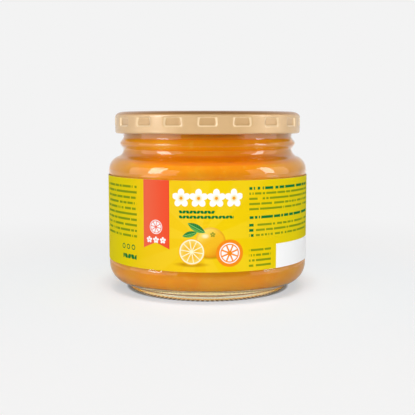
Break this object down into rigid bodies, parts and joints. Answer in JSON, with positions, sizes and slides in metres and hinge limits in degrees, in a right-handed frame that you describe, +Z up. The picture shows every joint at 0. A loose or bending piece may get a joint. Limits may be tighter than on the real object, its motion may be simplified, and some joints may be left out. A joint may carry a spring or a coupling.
{
  "type": "jar of citrus preserve",
  "caption": "Squat round glass jar of orange citrus preserve with a wrap-around paper label and a pressed twist-off lid that turns and rises on glass threads.",
  "frame": {"origin": "centre of the base ring's underside", "axes": "+Z up along the jar's axis, the front of the label faces -Y"},
  "size_m": [0.092, 0.0918, 0.081],
  "materials": {
    "clear_glass": "clear soda-lime glass with a faint green cast",
    "citrus_preserve": "translucent orange jelly",
    "label_paper": "printed, coated yellow paper",
    "sealing_compound": "matt cream compound",
    "gold_lacquer": "champagne gold lacquer on tinplate, satin gloss"
  },
  "bodies": {
    "jar": {"glass_jar": "clear_glass", "preserve": "citrus_preserve", "label": "label_paper"},
    "seal": {"lid_gasket": "sealing_compound"},
    "lid": {"lid": "gold_lacquer"}
  },
  "joints": [
    {"name": "lid_rise", "type": "slide", "parent": "jar", "child": "seal", "axis": [0, 0, 1], "range_m": [0, 0.0037]},
    {"name": "lid_turn", "type": "hinge", "parent": "seal", "child": "lid", "pos_m": [0, 0, 0.07125], "axis": [0, 0, 1], "range_deg": [0, 60]}
  ],
  "couplings": [
    {"joint": "lid_rise", "follows": "lid_turn", "m_per_rad": 0.0035014}
  ]
}
